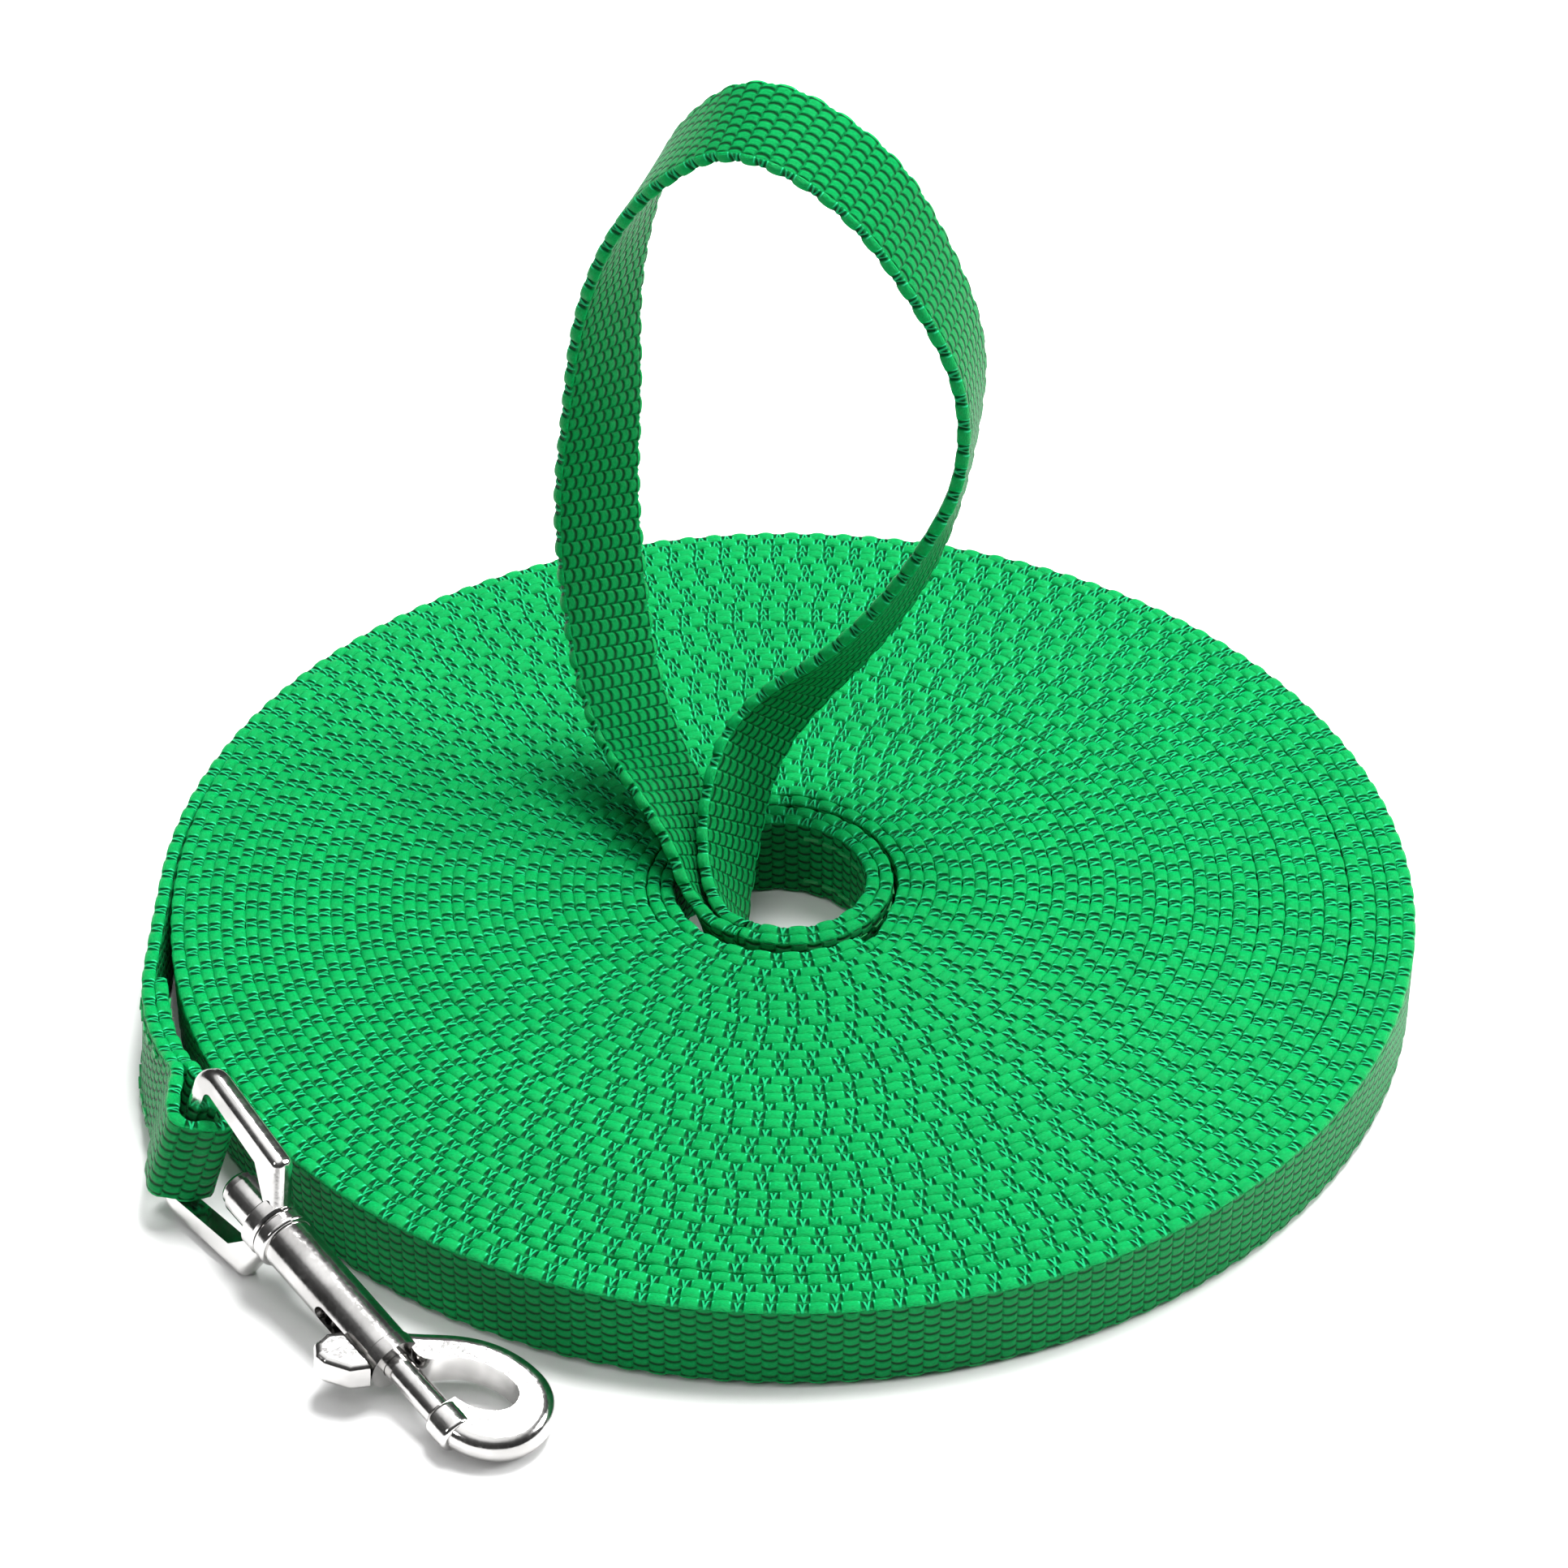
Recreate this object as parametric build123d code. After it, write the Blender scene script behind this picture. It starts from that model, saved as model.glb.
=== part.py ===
from build123d import *
import os
from math import atan2, cos, degrees, pi, radians, sin, tan

os.makedirs("parts", exist_ok=True)

# Millimetres. +Z up, z = 0 is the surface that the coil lies on, and the origin is the
# middle of the coil. Seen from above, the webbing winds outwards anticlockwise.

# webbing
WEB_WIDTH = 15.0
WEB_THICK = 2.05
DOUBLE = 2 * WEB_THICK

# coil: the outer face is a spiral that grows by one thickness a turn
RIM_START_DEG = 214.0
RIM_START_R = 98.4
LIFT_OFF_DEG = 510.0
TURN_GROWTH = 2.05
SIDE_FLAT = 1.0
LEAD_X = -99.1
LEAD_END_Y = -24.0

# doubled first turns, as (degrees round the coil, inner radius)
HEM_INNER = [(240, 11.2), (270, 11.2), (330, 11.8), (390, 13.1), (450, 15.7), (500, 17.4),
             (540, 18.3), (580, 18.2), (630, 17.6), (669, 17.2)]
# inner wall of the single turns round them
COIL_INNER = [(309, 16.9), (360, 17.5), (390, 18.0), (420, 19.6), (450, 20.7), (500, 22.2),
              (555, 22.9), (600, 22.5), (669, 21.7)]
SIDE_GAP = 0.25
ANGLE_STEP = 10

# hand loop: centreline and the direction of the webbing's upper edge at each point
LOOP_ROUTE = [(-7.5, -12.2, 7.5), (-11.5, -9, 7.6), (-13.4, -1.5, 10), (-15, 5.2, 17.1), (-19.2, 13.4, 23.2),
              (-24.3, 23, 26), (-28, 32, 33), (-30, 39.5, 44), (-31, 44, 59.5), (-29.5, 45, 76.5),
              (-28.5, 44, 94.5), (-24.5, 39.5, 112), (-18, 33, 127.5), (-6, 23.5, 140),
              (11, 16.5, 133), (21, 15.5, 117.5), (28, 15.5, 101), (27.5, 17, 83.5), (23, 18, 68.5),
              (17, 19, 55.5), (9.5, 20.5, 44.5), (2, 22, 36.5), (-4.8, 20.5, 29), (-8.3, 14.3, 22.8),
              (-9.8, 8, 15.6), (-10, 0, 9.8), (-8.7, -7.6, 7.5), (-6.5, -10.2, 7.5)]
LOOP_EDGE = [(0, 0, 1), (-0.05, -0.2, 1), (-0.3, -0.5, 0.85), (-0.55, -0.6, 0.6), (-0.8, -0.55, 0.35),
             (-0.85, -0.45, 0.15), (-0.9, -0.4, 0.05), (-0.95, -0.3, 0.05), (-0.9, -0.4, 0.05),
             (-0.8, -0.55, 0.1), (-0.65, -0.75, 0), (-0.5, -0.85, -0.1), (-0.3, -0.9, -0.3),
             (-0.35, -0.8, -0.45), (-0.55, -0.8, -0.2), (-0.35, -0.9, -0.2), (-0.25, -0.95, -0.05),
             (-0.15, -1, -0.05), (-0.4, -0.9, 0.05), (-0.55, -0.8, 0.2), (-0.6, -0.7, 0.35),
             (-0.65, -0.55, 0.5), (-0.65, -0.45, 0.6), (-0.65, -0.4, 0.65), (-0.6, -0.4, 0.7),
             (-0.4, -0.35, 0.85), (-0.15, -0.2, 0.95), (0, 0, 1)]

# snap: hub of the swivel eye, direction of the snap's axis, direction of the eye's width
HUB = Vector(-76.2, -74.7, 10.7)
SNAP_AXIS = Vector(0.619, -0.772, -0.142).normalized()
EYE_UP_HINT = Vector(0.32, 0.06, 0.945)

# swivel eye, measured along the snap's axis from the rear face of the hub
EYE_BAR_S = -20.1
EYE_THICK = 3.6
EYE_BAR = 3.6
EYE_FAR_HALF = 13.9
EYE_SHOULDER_HALF = 11.2
EYE_CORNER_R = 4.2
HUB_R = 4.7
HUB_LENGTH = 2.9

# swivel post
POST_R = 1.8
POST_FIT = 0.05
HEAD_R = 3.4
HEAD_DOME_R = 3.0
HEAD_LENGTH = 8.0
HEAD_STEP = 1.9
POST_PRESSED = 4.5

# snap body
BARREL_R = 3.95
BARREL_START = 3.0
BARREL_END = 33.0
BORE_R = 2.2
SLOT_START = 18.2
SLOT_END = 32.2
SLOT_WIDTH = 3.0
HOOK_HALF_THICK = 2.5
HOOK_ROUND = 2.2
FLANGE_R = 4.6
FLANGE_LENGTH = 2.6
NOSE_COLLAR_R = 2.95
NOSE_COLLAR_LENGTH = 4.6
NOSE_S = 44.0
NOSE_HALF = 2.3

# bolt, knob and spring
BOLT_R = 2.1
BOLT_REAR = 22.0
BOLT_TRAVEL = 10.5
BOLT_GAP = 0.1
KNOB_S = 30.4
KNOB_STEM_R = 1.35
KNOB_LENGTH = 9.0
KNOB_HALF_HEIGHT = 2.6
KNOB_BASE = 4.45
KNOB_TOP = 9.7
SPRING_R = 1.7
SPRING_WIRE_R = 0.22
SPRING_TURNS = 7

# folded end of the webbing round the eye's far bar
FOLD_CLEAR_R = 2.75
FOLD_SHIFT = -2.0
FOLD_BACK = 13.0
SNAP_END_ROUTE = [(-94.2, -45.3, 9.8), (-96.8, -36.6, 8.2), (-97.8, -30.0, 7.7), (-98.1, -24.0, 7.5)]
SNAP_END_EDGE = [(0.27, 0.03, 0.96), (0.18, 0, 0.98), (0.09, 0, 1.0), (0, 0, 1)]

# stitches
STITCH_LENGTH = 2.4
STITCH_THICK = 0.6
STITCH_PROUD = 0.3


def at_angle(table, deg):
    # straight-line value of a (degrees, radius) table
    for (a0, r0), (a1, r1) in zip(table, table[1:]):
        if deg <= a1:
            return r0 + (r1 - r0) * (deg - a0) / (a1 - a0)
    return table[-1][1]


def polar(r, deg, z=0.0):
    return Vector(r * cos(radians(deg)), r * sin(radians(deg)), z)


def sweep_angles(start, end):
    count = max(2, round((end - start) / ANGLE_STEP))
    return [start + (end - start) * i / count for i in range(count + 1)]


def polar_spline(table, start, end, extra=0.0):
    return Spline(*[polar(at_angle(table, a) + extra, a) for a in sweep_angles(start, end)])


def rim_radius(deg):
    # the spiral, pressed flatter on the side that the last turn leaves from
    radius = RIM_START_R + TURN_GROWTH * (deg - RIM_START_DEG) / 360
    if deg < RIM_START_DEG:
        radius -= SIDE_FLAT * sin(radians((deg - LIFT_OFF_DEG + 360) / 64 * 180)) ** 2
    return radius


def rim_spline(start, end):
    return Spline(*[polar(rim_radius(a), a) for a in sweep_angles(start, end)])


def raised(edges, bottom, top):
    # a closed outline on the floor, made into a wall from bottom to top
    face = make_face(edges)
    return extrude(Plane.XY.offset(bottom) * face, top - bottom, dir=(0, 0, 1))


def webbing_coil():
    # every single turn of the webbing as one body, open where the doubled turns lie
    first = LIFT_OFF_DEG - 360
    outer = [rim_spline(RIM_START_DEG, LIFT_OFF_DEG),
             Line(polar(rim_radius(LIFT_OFF_DEG), first), polar(rim_radius(first), first)),
             rim_spline(first, RIM_START_DEG)]
    start, end = COIL_INNER[0][0], COIL_INNER[-1][0]
    inner = [polar_spline(COIL_INNER, start, end),
             Line(polar(COIL_INNER[-1][1], end), polar(COIL_INNER[0][1], start))]
    return raised(outer, 0, WEB_WIDTH) - raised(inner, 0, WEB_WIDTH)


def handle_hem():
    # the loop's two layers sewn face to face, wound as the first turns
    start, end = HEM_INNER[0][0], HEM_INNER[-1][0]
    outline = [polar_spline(HEM_INNER, start, end),
               polar_spline(HEM_INNER, start, end, DOUBLE),
               Line(polar(HEM_INNER[0][1], start), polar(HEM_INNER[0][1] + DOUBLE, start)),
               Line(polar(HEM_INNER[-1][1], end), polar(HEM_INNER[-1][1] + DOUBLE, end))]
    return raised(outline, 0, WEB_WIDTH)


def corner_radii(points):
    # each arc is as large as its two runs allow
    radii = []
    for before, at, after in zip(points, points[1:], points[2:]):
        run_in = Vector(*at) - Vector(*before)
        run_out = Vector(*after) - Vector(*at)
        half_turn = radians(run_in.get_angle(run_out)) / 2
        radii.append(0.45 * min(run_in.length, run_out.length) / tan(half_turn))
    return radii


def strap_section(place, along, up, thick):
    # the cut face of a strap whose width runs along up
    across = up - along * up.dot(along)
    frame = Plane(origin=place, x_dir=across, z_dir=along)
    return frame * Rectangle(WEB_WIDTH, thick)


def blended(vectors, t):
    # direction between the listed ones, t from 0 to 1 along the list
    k = min(int(t * (len(vectors) - 1)), len(vectors) - 2)
    f = t * (len(vectors) - 1) - k
    return Vector(*vectors[k]) * (1 - f) + Vector(*vectors[k + 1]) * f


def handle_loop():
    radii = corner_radii(LOOP_ROUTE)
    print("hand loop bend radii:", [round(r, 1) for r in radii])
    path = FilletPolyline(*LOOP_ROUTE, radius=radii)
    print("hand loop length:", round(path.length, 1))
    count = 4 * (len(LOOP_ROUTE) - 1)
    knots = [0.0]
    for a, b in zip(LOOP_ROUTE, LOOP_ROUTE[1:]):
        knots.append(knots[-1] + (Vector(*b) - Vector(*a)).length)
    sections = []
    for i in range(count + 1):
        f = i / count * (len(LOOP_ROUTE) - 1)
        k = min(int(f), len(LOOP_ROUTE) - 2)
        t = (knots[k] + (f - k) * (knots[k + 1] - knots[k])) / knots[-1]
        sections.append(strap_section(path @ t, path % t, blended(LOOP_EDGE, i / count), WEB_THICK))
    solid = loft(sections[::-1], ruled=True)
    print("hand loop volume / section x length:",
          round(solid.volume / (WEB_WIDTH * WEB_THICK * path.length), 3))
    return solid


def lead_radius(deg):
    # round with the coil to the leftmost point, then straight on along it
    if deg < 540:
        return rim_radius(LIFT_OFF_DEG) - TURN_GROWTH / 2 + SIDE_GAP * (540 - deg) / 30
    return LEAD_X / cos(radians(deg))


def outer_lead():
    # the end of the last turn, which stands off the coil
    start, end = LIFT_OFF_DEG, 540 + degrees(atan2(LEAD_END_Y, LEAD_X) % pi)
    face_in = []
    face_out = []
    for a in [start + (end - start) * i / 12 for i in range(13)]:
        mid = lead_radius(a)
        face_in.append(polar(mid - WEB_THICK / 2, a))
        face_out.append(polar(mid + WEB_THICK / 2, a))
    outline = [Spline(*face_in), Spline(*face_out), Line(face_in[0], face_out[0]),
               Line(face_in[-1], face_out[-1])]
    return raised(outline, 0, WEB_WIDTH)


def eye_up():
    return (EYE_UP_HINT - SNAP_AXIS * EYE_UP_HINT.dot(SNAP_AXIS)).normalized()


def eye_frame():
    # X along the snap, Z along the eye's width, at the rear face of the hub
    return Plane(origin=HUB, x_dir=SNAP_AXIS, z_dir=eye_up())


def snap_frame():
    # X along the snap, Z square to the hook's plane
    up = Vector(0, 0, 1) - SNAP_AXIS * SNAP_AXIS.Z
    return Plane(origin=HUB, x_dir=SNAP_AXIS, z_dir=up.normalized())


def fold_place():
    return HUB + SNAP_AXIS * EYE_BAR_S + eye_up() * FOLD_SHIFT


def snap_end_loop():
    # the webbing round the eye's bar, and the two layers behind it
    up = eye_up()
    centre = fold_place()
    back = (Vector(*SNAP_END_ROUTE[0]) - centre).normalized()
    across = back - up * back.dot(up)
    flat = Plane(origin=centre, x_dir=across, z_dir=up)
    r = FOLD_CLEAR_R + WEB_THICK
    turn = radians(75)
    outline = [ThreePointArc((r * cos(turn), r * sin(turn)), (-r, 0), (r * cos(turn), -r * sin(turn))),
               Line((r * cos(turn), r * sin(turn)), (FOLD_BACK, DOUBLE / 2)),
               Line((FOLD_BACK, DOUBLE / 2), (FOLD_BACK, -DOUBLE / 2)),
               Line((FOLD_BACK, -DOUBLE / 2), (r * cos(turn), -r * sin(turn)))]
    void = Polygon((0, FOLD_CLEAR_R * 0.95), (0, -FOLD_CLEAR_R * 0.95), (FOLD_BACK - 3, 0), align=None)
    shape = make_face(outline) - Circle(FOLD_CLEAR_R) - void
    fold = extrude(flat.offset(-WEB_WIDTH / 2) * shape, WEB_WIDTH, dir=up)
    first = flat.from_local_coords(Vector(FOLD_BACK - 0.2, 0, 0))
    places = [first] + [Vector(*p) for p in SNAP_END_ROUTE[1:]]
    sections = []
    for i, place in enumerate(places):
        ahead = places[min(i + 1, len(places) - 1)]
        behind = places[max(i - 1, 0)]
        edge = up if i == 0 else Vector(*SNAP_END_EDGE[i])
        sections.append(strap_section(place, (ahead - behind).normalized(), edge, DOUBLE))
    return fold + loft(sections, ruled=True)


def swivel_eye():
    far = EYE_BAR_S - EYE_BAR / 2
    outer = Polyline((HUB_LENGTH, HUB_R - 0.4), (0.2, EYE_SHOULDER_HALF), (far, EYE_FAR_HALF),
                     (far, -EYE_FAR_HALF), (0.2, -EYE_SHOULDER_HALF), (HUB_LENGTH, 0.4 - HUB_R),
                     close=True)
    near = far + EYE_BAR
    inner = Polyline((0, 3.6), (-4.2, EYE_SHOULDER_HALF - 3.3), (near, EYE_FAR_HALF - EYE_BAR),
                     (near, EYE_BAR - EYE_FAR_HALF), (-4.2, 3.3 - EYE_SHOULDER_HALF), (0, -3.6),
                     close=True)
    plate = make_face(outer)
    corners = [v for v in plate.vertices() if v.X < far + 1]
    plate = fillet(corners, EYE_CORNER_R)
    shoulders = [v for v in plate.vertices() if abs(v.X - 0.2) < 0.1]
    plate = fillet(shoulders, 1.6)
    window = make_face(inner)
    window = fillet([v for v in window.vertices() if v.X < near + 1], 1.2)
    body = extrude(Plane.XZ * plate, EYE_THICK / 2, both=True)
    rim = [e for e in body.edges() if abs(abs(e.center().Y) - EYE_THICK / 2) < 0.01
           and e.center().X < HUB_LENGTH - 0.1]
    body = fillet(rim, 1.5)
    body -= extrude(Plane.XZ * window, EYE_THICK, both=True)
    hub = Plane.YZ * Cylinder(HUB_R, HUB_LENGTH, align=(Align.CENTER, Align.CENTER, Align.MIN))
    hub = chamfer(hub.edges(), 0.35)
    body += hub
    bore = Plane.YZ.offset(-1) * Cylinder(POST_R + POST_FIT, HUB_LENGTH + 2,
                                          align=(Align.CENTER, Align.CENTER, Align.MIN))
    body -= bore
    seat = Plane.YZ.offset(-5) * Cylinder(HEAD_R + 0.15, 5, align=(Align.CENTER, Align.CENTER, Align.MIN))
    return eye_frame() * (body - seat)


def swivel_post():
    head = revolve(Plane.XY * make_face([
        Polyline((-HEAD_LENGTH + 0.9, HEAD_DOME_R), (-HEAD_LENGTH + HEAD_STEP, HEAD_DOME_R + 0.1),
                 (-HEAD_LENGTH + HEAD_STEP + 0.2, HEAD_R), (-0.35, HEAD_R), (-0.05, HEAD_R - 0.3),
                 (-0.05, POST_R), (BARREL_START + POST_PRESSED, POST_R),
                 (BARREL_START + POST_PRESSED, 0), (-HEAD_LENGTH, 0), (-HEAD_LENGTH, HEAD_DOME_R - 1.4)),
        ThreePointArc((-HEAD_LENGTH, HEAD_DOME_R - 1.4), (-HEAD_LENGTH + 0.3, HEAD_DOME_R - 0.4),
                      (-HEAD_LENGTH + 0.9, HEAD_DOME_R))]), Axis.X)
    return snap_frame() * head


def hook_outline():
    # the bow, from the barrel's coil side round to the nose on the axis
    outer = Spline((29.5, 3.6), (31.6, 6.2), (34.8, 10.2), (39.2, 13.6), (44.4, 15.4), (49.2, 15.4),
                   (53.2, 13.2), (55.5, 9.6), (55.9, 5.6), (54.2, 1.7), (50.8, -1.1), (47.4, -2.2),
                   (NOSE_S, -NOSE_HALF))
    inner = Spline((NOSE_S, NOSE_HALF), (46.8, 3.3), (49.0, 5.3), (49.9, 7.8), (48.6, 10.2),
                   (45.2, 10.6), (41.4, 9.2), (38.2, 6.3), (36.0, 2.9), (33.4, 2.4))
    return [outer, inner, Line((NOSE_S, -NOSE_HALF), (NOSE_S, NOSE_HALF)),
            Line((33.4, 2.4), (29.5, 3.6))]


def snap_body():
    hook = extrude(make_face(hook_outline()), HOOK_HALF_THICK, both=True)
    rounded = [e for e in hook.edges() if abs(abs(e.center().Z) - HOOK_HALF_THICK) < 0.01
               and e.center().X > 34 and e.length > 12]
    hook = fillet(rounded[:2], HOOK_ROUND) if len(rounded) < 3 else fillet(
        sorted(rounded, key=lambda e: e.length)[-2:], HOOK_ROUND)
    length = BARREL_END - BARREL_START
    barrel = Plane.YZ.offset(BARREL_START) * Cylinder(
        BARREL_R, length, align=(Align.CENTER, Align.CENTER, Align.MIN))
    barrel = fillet(barrel.edges().sort_by(Axis.X)[0], 0.5)
    lip = Plane.YZ.offset(BARREL_END - 2.6) * Cylinder(
        BARREL_R + 0.2, 2.6, align=(Align.CENTER, Align.CENTER, Align.MIN))
    lip = chamfer(lip.edges().sort_by(Axis.X)[0], 0.19)
    flange = Plane.YZ.offset(BARREL_START) * Cylinder(
        FLANGE_R, FLANGE_LENGTH, align=(Align.CENTER, Align.CENTER, Align.MIN))
    flange = fillet(flange.edges(), 0.6)
    collar = Plane.YZ.offset(NOSE_S) * Cylinder(
        NOSE_COLLAR_R, NOSE_COLLAR_LENGTH, align=(Align.CENTER, Align.CENTER, Align.MIN))
    collar = fillet(collar.edges(), 0.7)
    body = barrel + lip + flange + hook + collar
    body -= Plane.YZ.offset(BARREL_START + POST_PRESSED) * Cylinder(
        BORE_R, BARREL_END, align=(Align.CENTER, Align.CENTER, Align.MIN)) - Box(
        100, 100, 100, align=(Align.MIN, Align.CENTER, Align.CENTER)).moved(Location((NOSE_S - 0.5, 0, 0)))
    body -= Plane.YZ.offset(BARREL_START - 1) * Cylinder(
        POST_R, POST_PRESSED + 2, align=(Align.CENTER, Align.CENTER, Align.MIN))
    slot = Box(SLOT_END - SLOT_START, BARREL_R * 2, SLOT_WIDTH,
               align=(Align.MIN, Align.MAX, Align.CENTER)).moved(Location((SLOT_START, 0, 0)))
    slot = fillet(slot.edges().filter_by(Axis.Y), SLOT_WIDTH / 2 - 0.05)
    return snap_frame() * (body - slot)


def snap_bolt():
    length = NOSE_S - BOLT_GAP - BOLT_REAR
    rod = Plane.YZ.offset(BOLT_REAR) * Cylinder(
        BOLT_R, length, align=(Align.CENTER, Align.CENTER, Align.MIN))
    rod = chamfer(rod.edges(), 0.3)
    hole = Plane.XZ * Cylinder(KNOB_STEM_R, BOLT_R, align=(Align.CENTER, Align.CENTER, Align.MIN))
    return snap_frame() * (rod - hole.moved(Location((KNOB_S, 0, 0))))


def thumb_knob():
    stem = Plane.XZ * Cylinder(KNOB_STEM_R, KNOB_BASE + 0.5, align=(Align.CENTER, Align.CENTER, Align.MIN))
    stem = stem.moved(Location((KNOB_S, 0, 0)))
    front = KNOB_S + 2.6
    rear = front - KNOB_LENGTH
    side = make_face(Polyline(
        (front, -KNOB_BASE), (rear + 0.8, -KNOB_BASE), (rear, -KNOB_BASE - 1.6),
        (rear + 0.6, -KNOB_TOP + 1.2), (rear + 2.6, -KNOB_TOP), (rear + 4.4, -KNOB_TOP + 0.3),
        (front - 1.2, -KNOB_TOP + 2.6), close=True))
    side = fillet([v for v in side.vertices() if v.Y < -KNOB_BASE - 0.5], 0.7)
    knob = extrude(side, KNOB_HALF_HEIGHT, both=True)
    flat = [e for e in knob.edges() if abs(abs(e.center().Z) - KNOB_HALF_HEIGHT) < 0.01
            and e.center().Y < -KNOB_BASE - 0.3]
    knob = fillet(flat, 1.2)
    return snap_frame() * (knob + stem)


def bolt_spring():
    rear = BARREL_START + POST_PRESSED + SPRING_WIRE_R + 0.05
    height = BOLT_REAR - rear - SPRING_WIRE_R - 0.05
    coil = Helix(pitch=height / SPRING_TURNS, height=height, radius=SPRING_R)
    start = Plane(origin=coil @ 0, z_dir=coil % 0)
    wire = sweep(start * Circle(SPRING_WIRE_R), path=coil)
    upright = Plane(origin=(rear, 0, 0), x_dir=(0, 1, 0), z_dir=(1, 0, 0))
    return snap_frame() * (upright * wire)


def stitch(place, along, through, depth):
    frame = Plane(origin=place, x_dir=along, z_dir=through)
    return frame * Box(STITCH_LENGTH, STITCH_THICK, depth)


def handle_stitching():
    # two rows of thread through both layers of the hem
    threads = []
    for height in (3.2, 11.8):
        deg = 251.0
        while deg < 440:
            r = at_angle(HEM_INNER, deg) + WEB_THICK
            place = polar(r, deg, height)
            along = Vector(-sin(radians(deg)), cos(radians(deg)), 0)
            threads.append(stitch(place, along, polar(1, deg), DOUBLE + 2 * STITCH_PROUD))
            deg += degrees(1.6 * STITCH_LENGTH / r)
    return Compound(children=threads)


def snap_end_stitching():
    # two rows and two cross rows of thread through both layers
    threads = []
    path = [Vector(*p) for p in SNAP_END_ROUTE]
    edges = [Vector(*e) for e in SNAP_END_EDGE]
    for i in range(1, len(path)):
        for f in (0.25, 0.75):
            if i == len(path) - 1 and f > 0.5:
                continue
            place = path[i - 1] * (1 - f) + path[i] * f
            along = (path[i] - path[i - 1]).normalized()
            edge = edges[i - 1] * (1 - f) + edges[i] * f
            edge = (edge - along * edge.dot(along)).normalized()
            through = along.cross(edge)
            for offset in (-5.2, 5.2):
                threads.append(stitch(place + edge * offset, along, through, DOUBLE + 2 * STITCH_PROUD))
    return Compound(children=threads)


def main():
    pieces = {
        "webbing_coil": webbing_coil,
        "outer_lead": outer_lead,
        "snap_end_loop": snap_end_loop,
        "snap_end_stitching": snap_end_stitching,
        "handle_hem": handle_hem,
        "handle_loop": handle_loop,
        "handle_stitching": handle_stitching,
        "swivel_eye": swivel_eye,
        "swivel_post": swivel_post,
        "snap_body": snap_body,
        "snap_bolt": snap_bolt,
        "thumb_knob": thumb_knob,
        "bolt_spring": bolt_spring,
    }
    for node, make in pieces.items():
        shape = make()
        export_step(shape, f"parts/{node}.step")
        print(node, "volume", round(shape.volume, 1))


main()
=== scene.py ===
import math
import bpy
import numpy as np
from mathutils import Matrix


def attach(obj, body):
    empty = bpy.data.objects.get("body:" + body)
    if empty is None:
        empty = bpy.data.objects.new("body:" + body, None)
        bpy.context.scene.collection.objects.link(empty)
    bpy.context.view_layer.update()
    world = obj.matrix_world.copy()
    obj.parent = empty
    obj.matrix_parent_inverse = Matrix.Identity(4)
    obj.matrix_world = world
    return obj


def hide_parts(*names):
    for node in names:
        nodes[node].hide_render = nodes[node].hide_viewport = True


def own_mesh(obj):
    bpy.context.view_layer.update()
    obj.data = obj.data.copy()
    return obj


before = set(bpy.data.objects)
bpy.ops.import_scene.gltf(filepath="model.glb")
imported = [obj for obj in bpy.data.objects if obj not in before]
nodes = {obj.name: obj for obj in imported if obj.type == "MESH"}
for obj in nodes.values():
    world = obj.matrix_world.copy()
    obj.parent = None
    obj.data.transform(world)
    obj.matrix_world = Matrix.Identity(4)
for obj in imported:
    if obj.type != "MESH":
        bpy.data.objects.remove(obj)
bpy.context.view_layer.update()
mm = 0.001

# the webbing, in millimetres like every size below
tape = {
    "width": 15.0,
    "thick": 2.05,
    "period": 4.6,        # length of one lump and one dip along the edge
    "rows": 9.0,          # floats across the width
    "step": 0.575,        # distance between cross sections
    "edgeDrop": 0.85,     # how far the edge rounds down to the faces
    "dipDepth": 0.70,     # depth of the dips between the lumps
    "crown": 0.42,        # how far a lump's ends fall below its top, as a share of dipDepth
    "dipPinch": 0.16,     # how much the tape narrows at a dip
    "dipHalf": 0.14,      # flat bottom of a dip, from its middle, in periods
    "dipEase": 0.10,      # its slope, in periods
    "ridgeHalf": 0.08,    # the ridge in the middle of a dip, in periods
    "ridgeRise": 0.6,     # its height, as a share of dipDepth
    "arch": 2.5,          # power of the rounding across the edge
    "crownHalf": 0.27,    # distance from a lump's middle where that fall is full, in periods
    "rimShare": 0.4,      # depth of a dip at the rim of the edge, as a share of the middle
    "bulge": 0.05,        # how much the tape widens at its lumps
    "bulgeFrom": 4.5,     # height above the middle where the widening starts
    "bulgeEase": 2.2,     # and the height it takes
}


# camera and light
cameraFacts = {"place": (-0.64, -556.8, 452.66), "tilt": 53.058, "lens": 102.28, "sensor": 36.0}

cameraData = bpy.data.cameras.new("camera")
cameraData.lens = cameraFacts["lens"]
cameraData.sensor_width = cameraFacts["sensor"]
cameraData.clip_start = 0.05
cameraData.clip_end = 20
camera = bpy.data.objects.new("camera", cameraData)
camera.location = [v * mm for v in cameraFacts["place"]]
camera.rotation_euler = (math.radians(cameraFacts["tilt"]), 0, 0)
bpy.context.scene.collection.objects.link(camera)
bpy.context.scene.camera = camera


# place, aim, size and power of each softbox, in metres and watts
lamps = {
    "overhead": {"place": (0.20, 0.28, 1.15), "aim": (0, 0, 0), "size": 0.6, "power": 26},
    "rightSide": {"place": (1.05, 0.05, 0.60), "aim": (0, 0, 0.02), "size": 0.5, "power": 10},
    "leftFill": {"place": (-0.9, -0.7, 0.75), "aim": (-0.03, -0.05, 0.02), "size": 0.3,
                 "power": 2.2},
}


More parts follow.
